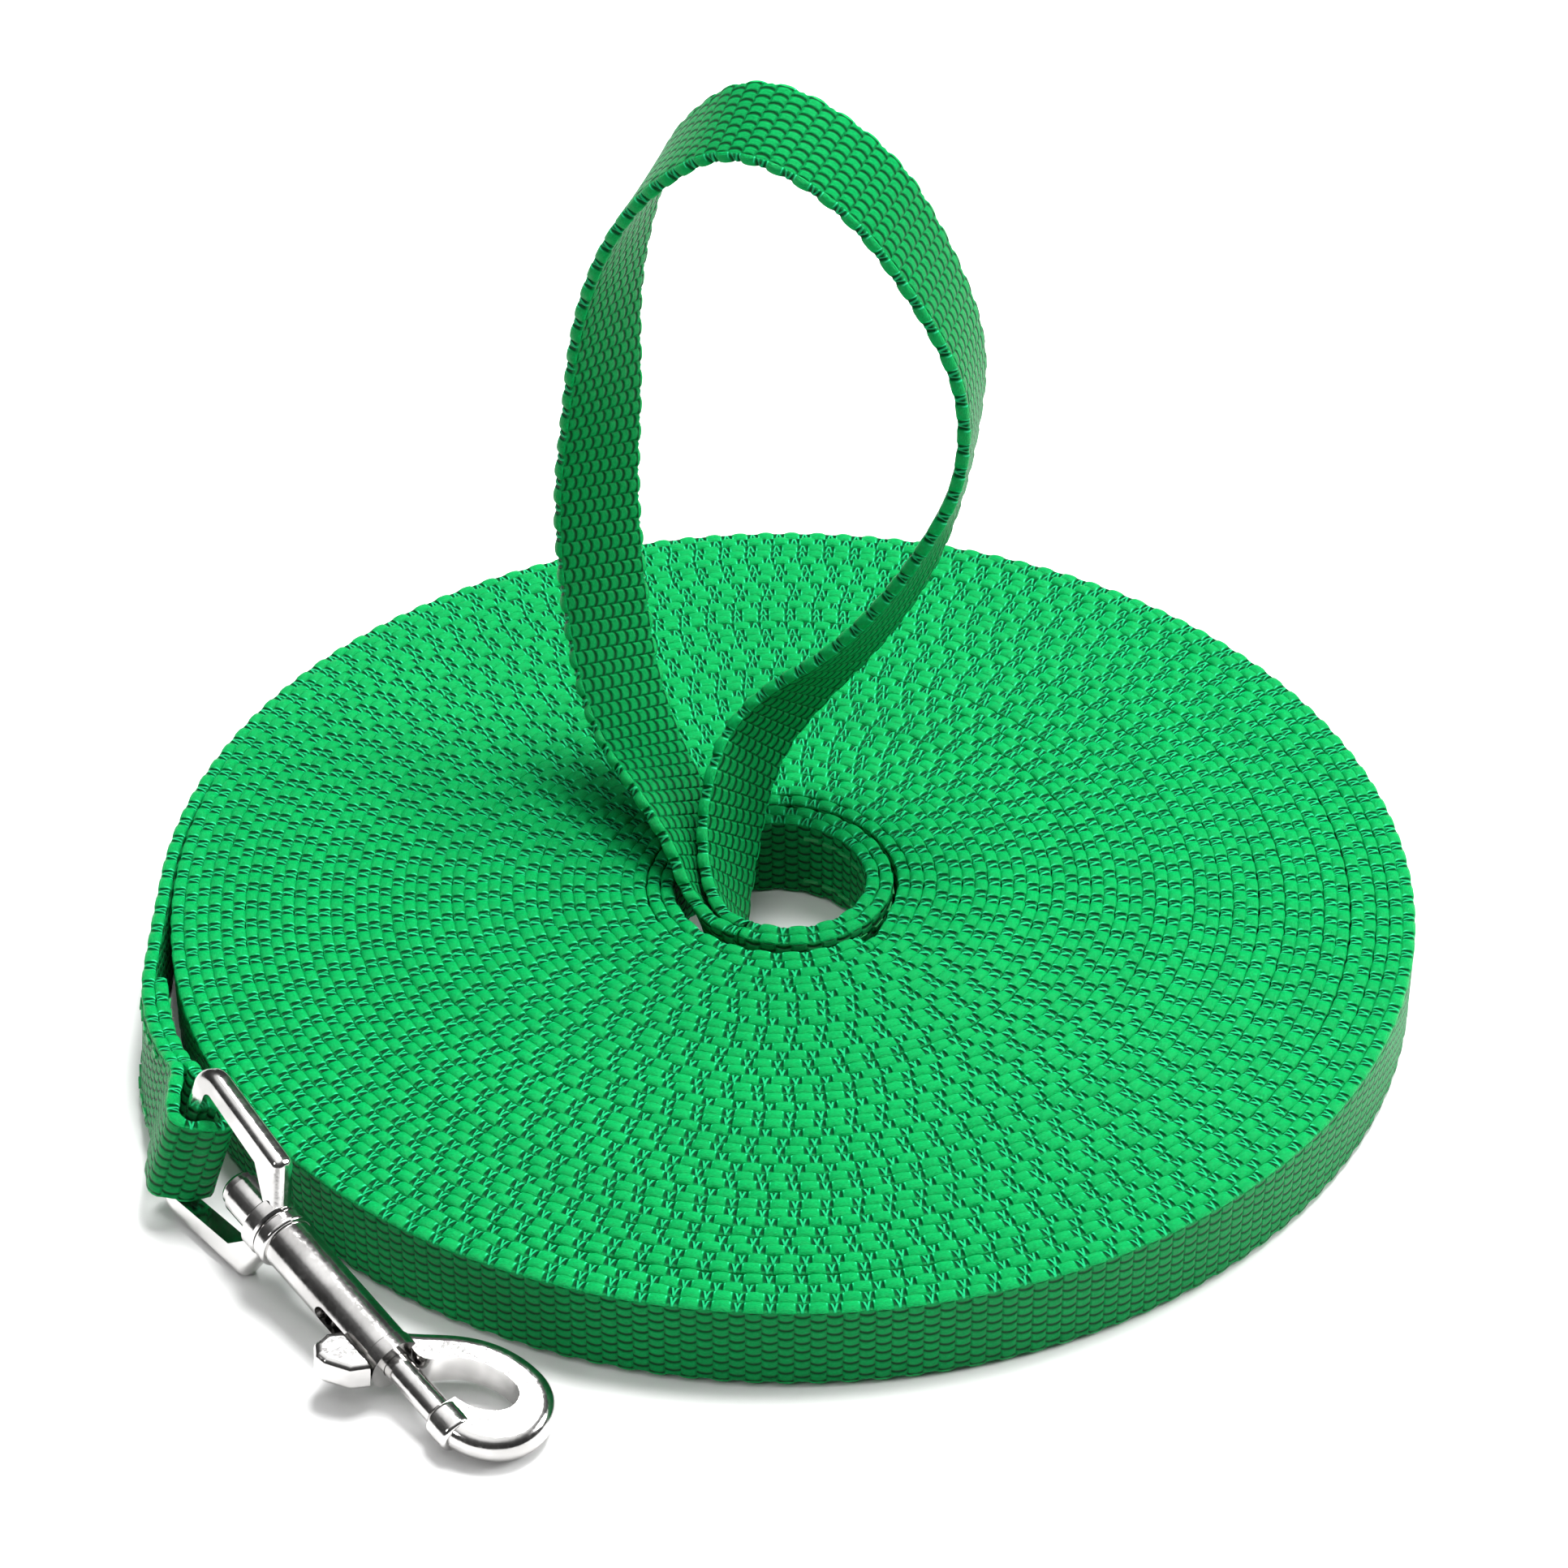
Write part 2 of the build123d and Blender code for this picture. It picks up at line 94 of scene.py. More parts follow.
def addLamp(name, facts):
    data = bpy.data.lights.new(name, "AREA")
    data.shape = "DISK"
    data.size = facts["size"]
    data.energy = facts["power"]
    lamp = bpy.data.objects.new(name, data)
    bpy.context.scene.collection.objects.link(lamp)
    place = np.array(facts["place"])
    back = place - np.array(facts["aim"])
    lamp.location = facts["place"]
    turnZ = math.atan2(back[1], back[0]) + math.pi / 2
    lamp.rotation_euler = (math.atan2(math.hypot(back[0], back[1]), back[2]), 0, turnZ)


for lampName, lampFacts in lamps.items():
    addLamp(lampName, lampFacts)

world = bpy.data.worlds.new("studio")
bpy.context.scene.world = world
world.use_nodes = True
sky = world.node_tree
skyPlace = sky.nodes.new("ShaderNodeTexCoord")
skyParts = sky.nodes.new("ShaderNodeSeparateXYZ")
sky.links.new(skyPlace.outputs["Generated"], skyParts.inputs[0])
# white overhead, with a dim band round the walls: (height of the direction, grey)
studio = {"horizon": 0.30, "overhead": (0.93, 1.0), "walls": ((0.10, 0.03), (0.55, 0.05), (0.75, 0.14)),
          "strength": 1.5}
skyRamp = sky.nodes.new("ShaderNodeValToRGB")
skyRamp.color_ramp.elements[0].position = 0.0
skyRamp.color_ramp.elements[0].color = (studio["horizon"],) * 3 + (1,)
skyRamp.color_ramp.elements[1].position = studio["overhead"][0]
skyRamp.color_ramp.elements[1].color = (studio["overhead"][1],) * 3 + (1,)
for position, grey in studio["walls"]:
    stop = skyRamp.color_ramp.elements.new(position)
    stop.color = (grey, grey, grey, 1)
sky.links.new(skyParts.outputs["Z"], skyRamp.inputs["Fac"])
sky.links.new(skyRamp.outputs["Color"], sky.nodes["Background"].inputs["Color"])
sky.nodes["Background"].inputs["Strength"].default_value = studio["strength"]
print("camera and light set")


# node helpers
def link(tree, value, socket):
    # a socket is linked, and a number or colour is set
    if isinstance(value, bpy.types.NodeSocket):
        tree.links.new(value, socket)
    elif value is not None:
        socket.default_value = value


def calc(tree, operation, a, b=None, c=None):
    node = tree.nodes.new("ShaderNodeMath")
    node.operation = operation
    for value, socket in zip((a, b, c), node.inputs):
        link(tree, value, socket)
    return node.outputs[0]


def ramp(tree, value, low, high, outLow=0.0, outHigh=1.0):
    # soft step of value from low to high
    node = tree.nodes.new("ShaderNodeMapRange")
    node.interpolation_type = "SMOOTHSTEP"
    for item, name in ((value, "Value"), (low, "From Min"), (high, "From Max"),
                       (outLow, "To Min"), (outHigh, "To Max")):
        link(tree, item, node.inputs[name])
    return node.outputs[0]


def blendColour(tree, mask, a, b):
    node = tree.nodes.new("ShaderNodeMix")
    node.data_type = "RGBA"
    link(tree, mask, node.inputs["Factor"])
    link(tree, a, node.inputs["A"])
    link(tree, b, node.inputs["B"])
    return node.outputs["Result"]


def newGroup(name, inputs, outputs):
    # inputs as (name, default), outputs as names; all of them plain numbers
    tree = bpy.data.node_groups.new(name, "ShaderNodeTree")
    for socketName, value in inputs:
        socket = tree.interface.new_socket(socketName, in_out="INPUT",
                                           socket_type="NodeSocketFloat")
        socket.default_value = value
    for socketName in outputs:
        tree.interface.new_socket(socketName, in_out="OUTPUT", socket_type="NodeSocketFloat")
    return tree, tree.nodes.new("NodeGroupInput").outputs, tree.nodes.new("NodeGroupOutput").inputs


def useGroup(tree, group, **values):
    node = tree.nodes.new("ShaderNodeGroup")
    node.node_tree = group
    for name, value in values.items():
        link(tree, value, node.inputs[name])
    return node.outputs


# plain weave: columns of oval floats, every other column half a row higher; pairs are where
# a soft step begins and ends, in rows or columns from a float's middle
weave = {"smile": 0.9, "sideDip": (0.20, 0.5), "endDip": (0.36, 0.5), "endDepth": 0.7,
         "rowCrease": (0.28, 0.45), "columnCrease": (0.44, 0.5), "columnShare": 0.35}
weaveGroup, given, result = newGroup(
    "ribbedWeave", [("Columns", 0.0), ("Rows", 0.0), ("Smile", weave["smile"])], ["Height", "PaintedCreaseShade"])
column = calc(weaveGroup, "FLOOR", given["Columns"])
along = calc(weaveGroup, "SUBTRACT", calc(weaveGroup, "SUBTRACT", given["Columns"], column), 0.5)
odd = calc(weaveGroup, "FLOORED_MODULO", column, 2.0)
sag = calc(weaveGroup, "MULTIPLY", calc(weaveGroup, "MULTIPLY", along, along), given["Smile"])
row = calc(weaveGroup, "SUBTRACT", calc(weaveGroup, "MULTIPLY_ADD", odd, 0.5, given["Rows"]), sag)
across = calc(weaveGroup, "SUBTRACT", calc(weaveGroup, "FRACT", row), 0.5)
sideDip = ramp(weaveGroup, calc(weaveGroup, "ABSOLUTE", across), *weave["sideDip"])
endDip = ramp(weaveGroup, calc(weaveGroup, "ABSOLUTE", along), *weave["endDip"])
height = calc(weaveGroup, "MULTIPLY", calc(weaveGroup, "SUBTRACT", 1.0, sideDip),
              calc(weaveGroup, "SUBTRACT", 1.0,
                   calc(weaveGroup, "MULTIPLY", endDip, weave["endDepth"])))
link(weaveGroup, height, result["Height"])
# the crease mask darkens the colour between the floats: painted shade
rowCrease = ramp(weaveGroup, calc(weaveGroup, "ABSOLUTE", across), *weave["rowCrease"])
columnCrease = ramp(weaveGroup, calc(weaveGroup, "ABSOLUTE", along), *weave["columnCrease"])
paintedShade = calc(weaveGroup, "MAXIMUM", rowCrease,
              calc(weaveGroup, "MULTIPLY", columnCrease, weave["columnShare"]))
link(weaveGroup, paintedShade, result["PaintedCreaseShade"])

# woven edge: a smooth lump, then a dip with a forked ridge and a pit each side of it; places
# are in periods from the dip's middle, or from 0 to 1 across the edge
edgeWeave = {"dip": (0.15, 0.22), "fork": 0.10, "ridge": (0.022, 0.065),
             "pitRim": (0.24, 0.50), "pitAtRim": 0.35, "shoulder": 0.235,
             "shoulderRim": (0.005, 0.035), "rimAcross": (0.45, 0.8), "ridgeShare": 0.45}
edgeGroup, given, result = newGroup(
    "lumpedEdge", [("Periods", 0.0), ("Across", 0.0)], ["Height", "PaintedPitShade", "PaintedHighlightMask"])
away = calc(edgeGroup, "SUBTRACT", calc(edgeGroup, "FRACT", given["Periods"]), 0.5)
away = calc(edgeGroup, "ABSOLUTE", away)
inDip = ramp(edgeGroup, away, *edgeWeave["dip"], 1.0, 0.0)
fork = calc(edgeGroup, "MULTIPLY", given["Across"], edgeWeave["fork"])
offFork = calc(edgeGroup, "ABSOLUTE", calc(edgeGroup, "SUBTRACT", away, fork))
ridge = ramp(edgeGroup, offFork, *edgeWeave["ridge"], 1.0, 0.0)
ridge = calc(edgeGroup, "MULTIPLY", ridge, inDip)
# the pit sinks the bump, and its mask also darkens the colour as painted shade
pit = calc(edgeGroup, "MULTIPLY", inDip, calc(edgeGroup, "SUBTRACT", 1.0, ridge))
offMiddle = calc(edgeGroup, "ABSOLUTE", calc(edgeGroup, "SUBTRACT", given["Across"], 0.5))
pit = calc(edgeGroup, "MULTIPLY", pit,
           ramp(edgeGroup, offMiddle, *edgeWeave["pitRim"], 1.0, edgeWeave["pitAtRim"]))
# a thin painted highlight along each lump's shoulder, on one half of the edge
offShoulder = calc(edgeGroup, "SUBTRACT", away, edgeWeave["shoulder"])
offShoulder = calc(edgeGroup, "ABSOLUTE", offShoulder)
rim = ramp(edgeGroup, offShoulder, *edgeWeave["shoulderRim"], 1.0, 0.0)
rim = calc(edgeGroup, "MULTIPLY", rim, ramp(edgeGroup, given["Across"], *edgeWeave["rimAcross"]))
link(edgeGroup, calc(edgeGroup, "SUBTRACT", 1.0, pit), result["Height"])
link(edgeGroup, pit, result["PaintedPitShade"])
# the ridge and the shoulder together make the mask of the painted highlight
ridge = calc(edgeGroup, "MAXIMUM", calc(edgeGroup, "MULTIPLY", ridge, edgeWeave["ridgeShare"]), rim)
link(edgeGroup, ridge, result["PaintedHighlightMask"])

# fine yarn grain and slow shade changes of dyed webbing
yarn = {"alongScale": 9.0, "aroundScale": 34.0, "detail": 3.0, "shadeScale": 0.13}
yarnGroup, given, result = newGroup(
    "yarnGrain", [("Along", 0.0), ("Around", 0.0)], ["Grain", "Shade"])
joined = yarnGroup.nodes.new("ShaderNodeCombineXYZ")
link(yarnGroup, calc(yarnGroup, "MULTIPLY", given["Along"], yarn["alongScale"]), joined.inputs["X"])
link(yarnGroup, calc(yarnGroup, "MULTIPLY", given["Around"], yarn["aroundScale"]), joined.inputs["Y"])
fine = yarnGroup.nodes.new("ShaderNodeTexNoise")
link(yarnGroup, joined.outputs[0], fine.inputs["Vector"])
fine.inputs["Scale"].default_value = 1.0
fine.inputs["Detail"].default_value = yarn["detail"]
slow = yarnGroup.nodes.new("ShaderNodeTexNoise")
slow.noise_dimensions = "1D"
link(yarnGroup, calc(yarnGroup, "MULTIPLY", given["Along"], yarn["shadeScale"]), slow.inputs["W"])
slow.inputs["Scale"].default_value = 1.0
link(yarnGroup, fine.outputs["Fac"], result["Grain"])
link(yarnGroup, slow.outputs["Fac"], result["Shade"])
print("weave groups made")


# materials
def newMaterial(name):
    material = bpy.data.materials.new(name)
    material.use_nodes = True
    tree = material.node_tree
    return material, tree, tree.nodes["Principled BSDF"]


def addBump(tree, shader, height, distance, strength=1.0):
    bump = tree.nodes.new("ShaderNodeBump")
    bump.inputs["Strength"].default_value = strength
    bump.inputs["Distance"].default_value = distance
    link(tree, height, bump.inputs["Height"])
    link(tree, bump.outputs["Normal"], shader.inputs["Normal"])


# bright and deep are dye colours; the near-black colour is painted shade for the edge's pits and the
# face's creases
dyeAndPaintedLight = {"bright": (0.0006, 0.44, 0.103, 1), "deep": (0.0003, 0.14, 0.032, 1),
       # the pale mint colour is a painted highlight on the edge's ridges and lump shoulders
       "paintedShade": (0.0, 0.008, 0.003, 1), "edge": (0.03, 0.78, 0.34, 1)}
webbing = {
    "grain": (0.3, 0.75),       # soft step of the grain from deep to bright dye
    "evened": 0.35,             # how far the grain's colours are evened out
    # strength of the painted highlight on the edge's ridges and shoulders
    "paintedHighlightStrength": 0.85,
    # strengths of the painted shade in the edge's pits and the face's creases
    "paintedPitShadeStrength": 0.88,
    "paintedCreaseShadeStrength": 0.85,
    "faceRelief": 0.0007,       # metres
    "edgeRelief": 0.0005,
    "shade": (0.35, 0.7),       # soft step of the slow shade changes, and their depth
    "shadeDepth": 0.16,
    "roughGrain": (0.2, 0.8),
    "roughness": (0.34, 0.52),
    "grainRelief": 0.35,        # share of the weave's relief
    "specular": 0.09,
}


def webbingMaterial(name, onEdge):
    material, tree, shader = newMaterial(name)
    uv = tree.nodes.new("ShaderNodeUVMap")
    uv.uv_map = "tapeMap"
    parts = tree.nodes.new("ShaderNodeSeparateXYZ")
    tree.links.new(uv.outputs["UV"], parts.inputs[0])
    lengthwise, sideways = parts.outputs["X"], parts.outputs["Y"]
    grain = useGroup(tree, yarnGroup, Along=lengthwise, Around=sideways)
    base = blendColour(tree, ramp(tree, grain["Grain"], *webbing["grain"]), dyeAndPaintedLight["deep"],
                       dyeAndPaintedLight["bright"])
    base = blendColour(tree, webbing["evened"], base, dyeAndPaintedLight["bright"])
    if onEdge:
        relief = useGroup(tree, edgeGroup, Periods=lengthwise, Across=sideways)
        # painted highlight: the edge's ridges and lump shoulders are lightened towards the pale mint
        # colour
        paintedHighlight = calc(tree, "MULTIPLY", relief["PaintedHighlightMask"], webbing["paintedHighlightStrength"])
        base = blendColour(tree, paintedHighlight, base, dyeAndPaintedLight["edge"])
        # painted shade: the edge's pits are darkened towards the near-black colour
        dark = calc(tree, "MULTIPLY", relief["PaintedPitShade"], webbing["paintedPitShadeStrength"])
        base = blendColour(tree, dark, base, dyeAndPaintedLight["paintedShade"])
    else:
        columns = calc(tree, "MULTIPLY_ADD", lengthwise, 2.0, 0.5)
        relief = useGroup(tree, weaveGroup, Columns=columns, Rows=sideways)
        # painted shade: the creases between the floats are darkened towards the near-black colour
        dark = calc(tree, "MULTIPLY", relief["PaintedCreaseShade"], webbing["paintedCreaseShadeStrength"])
        base = blendColour(tree, dark, base, dyeAndPaintedLight["paintedShade"])
    shadeMask = ramp(tree, grain["Shade"], *webbing["shade"])
    shadeMask = calc(tree, "MULTIPLY", shadeMask, webbing["shadeDepth"])
    base = blendColour(tree, shadeMask, base, dyeAndPaintedLight["deep"])
    link(tree, base, shader.inputs["Base Color"])
    rough = ramp(tree, grain["Grain"], *webbing["roughGrain"], *webbing["roughness"])
    link(tree, rough, shader.inputs["Roughness"])
    height = calc(tree, "MULTIPLY_ADD", grain["Grain"], webbing["grainRelief"], relief["Height"])
    addBump(tree, shader, height, webbing["edgeRelief" if onEdge else "faceRelief"])
    shader.inputs["Specular IOR Level"].default_value = webbing["specular"]
    return material


faceMaterial = webbingMaterial("wovenFace", False)
edgeMaterial = webbingMaterial("wovenEdge", True)


thread = {"fibreScale": 2600, "relief": 0.0001, "roughness": 0.5}


def threadMaterial():
    material, tree, shader = newMaterial("sewingThread")
    place = tree.nodes.new("ShaderNodeTexCoord")
    noise = tree.nodes.new("ShaderNodeTexNoise")
    noise.inputs["Scale"].default_value = thread["fibreScale"]
    tree.links.new(place.outputs["Object"], noise.inputs["Vector"])
    shades = blendColour(tree, noise.outputs["Fac"], dyeAndPaintedLight["deep"], dyeAndPaintedLight["bright"])
    link(tree, shades, shader.inputs["Base Color"])
    addBump(tree, shader, noise.outputs["Fac"], thread["relief"])
    shader.inputs["Roughness"].default_value = thread["roughness"]
    return material


# scales are for metres, and pairs are where a soft step of the noise begins and ends
plating = {"broadScale": 140, "broadDetail": 2, "fineScale": 1500, "fineDetail": 4,
           "patch": (0.4, 0.7), "patchDepth": 0.5, "scuff": (0.3, 0.8), "scuffRough": 0.12,
           "fineShare": 0.12, "relief": 0.0002, "reliefStrength": 0.5}


def platingMaterial(name, tint, roughness, dark):
    # polished plating: faint waviness, fine scuffs, and duller patches
    material, tree, shader = newMaterial(name)
    place = tree.nodes.new("ShaderNodeTexCoord")
    broad = tree.nodes.new("ShaderNodeTexNoise")
    broad.inputs["Scale"].default_value = plating["broadScale"]
    broad.inputs["Detail"].default_value = plating["broadDetail"]
    fine = tree.nodes.new("ShaderNodeTexNoise")
    fine.inputs["Scale"].default_value = plating["fineScale"]
    fine.inputs["Detail"].default_value = plating["fineDetail"]
    tree.links.new(place.outputs["Object"], broad.inputs["Vector"])
    tree.links.new(place.outputs["Object"], fine.inputs["Vector"])
    patch = ramp(tree, broad.outputs["Fac"], *plating["patch"])
    patch = calc(tree, "MULTIPLY", patch, plating["patchDepth"])
    shades = blendColour(tree, patch, tint, dark)
    link(tree, shades, shader.inputs["Base Color"])
    scuffs = ramp(tree, fine.outputs["Fac"], *plating["scuff"], roughness,
                  roughness + plating["scuffRough"])
    link(tree, scuffs, shader.inputs["Roughness"])
    wavy = calc(tree, "MULTIPLY_ADD", fine.outputs["Fac"], plating["fineShare"],
                broad.outputs["Fac"])
    addBump(tree, shader, wavy, plating["relief"], plating["reliefStrength"])
    shader.inputs["Metallic"].default_value = 1.0
    return material


threads = threadMaterial()
nickel = platingMaterial("polishedNickel", (0.66, 0.65, 0.64, 1), 0.10, (0.24, 0.235, 0.23, 1))
springSteel = platingMaterial("springWire", (0.42, 0.41, 0.40, 1), 0.30, (0.30, 0.29, 0.28, 1))
print("materials made")


# tape surface
def tapeProfile(faceRows, topPoints, bottomPoints):
    # closed section from the outer face up, over the top edge, down the inner face and under
    # the bottom edge, as (across -1..1, height in mm, edge: 1 top, -1 bottom, 0 face);
    # an edge is a rounded arch, height = drop * sqrt(1 - |across| ^ arch)
    half = tape["width"] / 2
    drop = tape["edgeDrop"]
    up = np.linspace(-half + drop, half - drop, faceRows + 1)
    points = [(1.0, h, 0) for h in up]
    for x in np.cos(np.linspace(0, math.pi, topPoints + 2))[1:-1]:
        points.append((x, half - drop + drop * (1 - abs(x) ** tape["arch"]) ** 0.5, 1))
    points += [(-1.0, h, 0) for h in up[::-1]]
    for x in np.cos(np.linspace(math.pi, 0, bottomPoints + 2))[1:-1]:
        points.append((x, -half + drop - drop * (1 - abs(x) ** tape["arch"]) ** 0.5, -1))
    table = np.array(points, float)
    count = len(points)
    onEdge = np.zeros(count, bool)
    onEdge[faceRows:faceRows + topPoints + 1] = True
    onEdge[2 * faceRows + topPoints + 1:count] = True
    rowOf = table[:, 1] / tape["width"] * tape["rows"]
    acrossOf = (1 - table[:, 0]) / 2
    rowStart = np.where(onEdge, acrossOf, rowOf)
    rowEnd = np.where(onEdge, np.roll(acrossOf, -1), np.roll(rowOf, -1))
    return table, onEdge, rowStart, rowEnd


def tapeMesh(name, centre, up, startLength, profile):
    # a section carried along a line: centre + across * normal + height * up, with the lumps
    # and dips of the woven edge as a function of the length along the tape
    table, onEdge, rowStart, rowEnd = profile
    tangent = np.gradient(centre, axis=0)
    tangent /= np.linalg.norm(tangent, axis=1)[:, None]
    up = up / np.linalg.norm(up, axis=1)[:, None]
    normal = np.cross(tangent, up)
    normal /= np.linalg.norm(normal, axis=1)[:, None]
    run = np.r_[0, np.cumsum(np.linalg.norm(np.diff(centre, axis=0), axis=1))] + startLength
    periods = run / tape["period"]
    away = np.abs(periods - np.floor(periods) - 0.5)
    dip = 1 - np.clip((away - tape["dipHalf"]) / tape["dipEase"], 0, 1)
    dip = dip * dip * (3 - 2 * dip)
    ridge = np.exp(-(away / tape["ridgeHalf"]) ** 2) * tape["ridgeRise"]
    crown = np.clip((0.5 - away) / tape["crownHalf"], 0, 1) ** 2 * (1 - dip) * tape["crown"]
    sunk = (dip - ridge + crown)[:, None] * (table[:, 2] != 0)[None, :]
    rimShare = tape["rimShare"]
    share = (1 - np.abs(table[:, 0]) ** 2)[None, :] * (1 - rimShare) + rimShare
    height = table[:, 1][None, :] - np.sign(table[:, 2])[None, :] * sunk * share * tape["dipDepth"]
    nearEdge = (np.abs(table[:, 1]) - tape["bulgeFrom"]) / tape["bulgeEase"]
    nearEdge = np.clip(nearEdge, 0, 1)[None, :]
    bulge = 1 + tape["bulge"] * nearEdge - dip[:, None] * nearEdge * tape["dipPinch"]
    acrossMm = table[:, 0][None, :] * bulge * tape["thick"] / 2
    place = (centre[:, None, :] + normal[:, None, :] * acrossMm[..., None]
             + up[:, None, :] * height[..., None]) * mm
    stations, around = place.shape[:2]
    i, j = np.meshgrid(np.arange(stations - 1), np.arange(around), indexing="ij")
    i, j = i.ravel(), j.ravel()
    k = (j + 1) % around
    quads = np.stack([i * around + j, (i + 1) * around + j, (i + 1) * around + k, i * around + k], 1)
    u0, u1 = periods[i], periods[i + 1]
    v0, v1 = rowStart[j], rowEnd[j]
    uv = np.stack([np.stack(pair, 1) for pair in ((u0, v0), (u1, v0), (u1, v1), (u0, v1))], 1)
    uv[..., 0] -= math.floor(periods[0] / 2) * 2
    last = (stations - 1) * around
    mesh = bpy.data.meshes.new(name)
    mesh.vertices.add(stations * around)
    mesh.vertices.foreach_set("co", place.ravel())
    loops = np.r_[quads.ravel(), np.arange(around), last + np.arange(around)[::-1]]
    starts = np.r_[np.arange(len(quads)) * 4, len(quads) * 4, len(quads) * 4 + around]
    mesh.loops.add(len(loops))
    mesh.loops.foreach_set("vertex_index", loops)
    mesh.polygons.add(len(starts))
    mesh.polygons.foreach_set("loop_start", starts)
    mesh.polygons.foreach_set("material_index", np.r_[onEdge[j].astype(int), 1, 1])
    smooth = np.ones(len(starts), bool)
    smooth[-2:] = False
    mesh.polygons.foreach_set("use_smooth", smooth)
    layer = mesh.uv_layers.new(name="tapeMap")
    capStart = np.stack([np.full(around, uv[0, 0, 0]), rowStart], 1)
    capEnd = np.stack([np.full(around, uv[-1, 1, 0]), rowStart[::-1]], 1)
    layer.data.foreach_set("uv", np.concatenate([uv.reshape(-1, 2), capStart, capEnd]).ravel())
    mesh.update(calc_edges=True)
    mesh.validate()
    mesh.materials.append(faceMaterial)
    mesh.materials.append(edgeMaterial)
    piece = bpy.data.objects.new(name, mesh)
    bpy.context.scene.collection.objects.link(piece)
    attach(piece, "leash")
    return piece, float(run[-1] - run[0])


def evenly(centre, up, step):
    # the same line with sections one step apart
    run = np.r_[0, np.cumsum(np.linalg.norm(np.diff(centre, axis=0), axis=1))]
    even = np.linspace(0, run[-1], max(3, int(round(run[-1] / step)) + 1))
    pick = lambda values: np.stack([np.interp(even, run, values[:, n]) for n in range(3)], 1)
    return pick(centre), pick(up)


# wound coil
hem = {
    "innerWall": [(240, 11.2), (270, 11.2), (330, 11.8), (390, 13.1), (450, 15.7), (500, 17.4),
                  (540, 18.3), (580, 18.2), (630, 17.6), (669, 17.2)],
    "start": 240.0,
    "end": 669.0,
    "layerGap": 0.12,
    "innerStart": 1.3,      # length at which the weave of the inner layer begins
}
coil = {
    "seam": 325.0,          # angle at which the turns step in over the end of the doubled tape
    "turns": 40,
    "rimRadius": 98.4,      # outer face at rimStart degrees
    "rimStart": 214.0,
    "growth": 2.05,         # of the outer face, each turn
    "liftOff": 510.0,       # angle at which the last turn leaves the coil
    "innerWall": [(309, 16.9), (360, 17.5), (390, 18.0), (420, 19.6), (450, 20.7), (500, 22.2),
                  (555, 22.9), (600, 22.5), (685, 21.5)],
    "sideFlat": 1.0,        # how much the side that the last turn leaves from is flattened
    "sideSpan": 64.0,       # degrees of that side
    "soften": 9.0,          # degrees over which a step is eased
    "lift": 0.25,           # how far a turn strays upwards
    "stray": 0.05,          # and sideways
    "pieces": 4,
}


def atAngle(table, angle):
    return np.interp(angle, [a for a, r in table], [r for a, r in table])


def tapeRadius(angle):
    # doubled turns first, then single turns that share the room between the inner wall
    # and the outer face evenly
    doubled = atAngle(hem["innerWall"], angle) + tape["thick"] * 1.5 + hem["layerGap"]
    first = coil["seam"] + 360
    turn = np.floor((angle - first) / 360)
    spot = coil["seam"] + np.mod(angle - first, 360)
    passed = spot >= coil["liftOff"]
    rim = coil["rimRadius"] + coil["growth"] * (spot - 360 * passed - coil["rimStart"]) / 360
    flatTurn = np.clip((spot - coil["liftOff"]) / coil["sideSpan"], 0, 1)
    rim -= coil["sideFlat"] * np.sin(flatTurn * math.pi) ** 2
    wall = atAngle(coil["innerWall"], spot)
    share = (turn + 0.5) / (coil["turns"] - passed)
    return np.where(angle < first, doubled, wall + (rim - wall) * share)


def eased(values, spread):
    # running mean with bell-shaped weights
    reach = int(spread * 3)
    weights = np.exp(-0.5 * (np.arange(-reach, reach + 1) / spread) ** 2)
    padded = np.r_[np.full(reach, values[0]), values, np.full(reach, values[-1])]
    return np.convolve(padded, weights / weights.sum(), "valid")


def waviness(angle, size, seed):
    # sum of slow waves that don't repeat from turn to turn
    rng = np.random.default_rng(seed)
    total = np.zeros(len(angle))
    for _ in range(7):
        total += np.sin(np.radians(angle) * rng.uniform(0.35, 2.9) + rng.uniform(0, 6.28))
    return size * total / 3.0


degreeStep = 0.25
coilEnd = 360 * coil["turns"] + coil["liftOff"]
turnAngle = np.arange(hem["start"], coilEnd + 0.01, degreeStep)
turnRadius = eased(tapeRadius(turnAngle), coil["soften"] / degreeStep)
fade = np.clip((turnAngle - 700) / 300, 0, 1) * np.clip((coilEnd - turnAngle) / 200, 0, 1)
turnRadius += waviness(turnAngle, coil["stray"], 3) * fade
turnLift = (0.2 + np.abs(waviness(turnAngle, coil["lift"], 5))) * fade


def ring(angle, radius, height):
    turned = np.radians(angle)
    return np.stack([radius * np.cos(turned), radius * np.sin(turned), height], 1)


wholeLine = ring(turnAngle, turnRadius, tape["width"] / 2 + turnLift)
upright = np.tile([0.0, 0.0, 1.0], (len(wholeLine), 1))
lineLength = np.r_[0, np.cumsum(np.linalg.norm(np.diff(wholeLine, axis=0), axis=1))]
print("tape in the coil, metres:", round(lineLength[-1] * mm, 2))

hemStop = int((hem["end"] - hem["start"]) / degreeStep)
outerStart = len(wholeLine) - int(400 / degreeStep)
coilProfile = tapeProfile(1, 5, 3)
visibleProfile = tapeProfile(6, 5, 5)


def sheetPiece(name, centre, up, begins, profile, replaced):
    line, top = evenly(centre, up, tape["step"])
    piece, length = tapeMesh(name, line, top, begins, profile)
    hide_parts(*replaced)


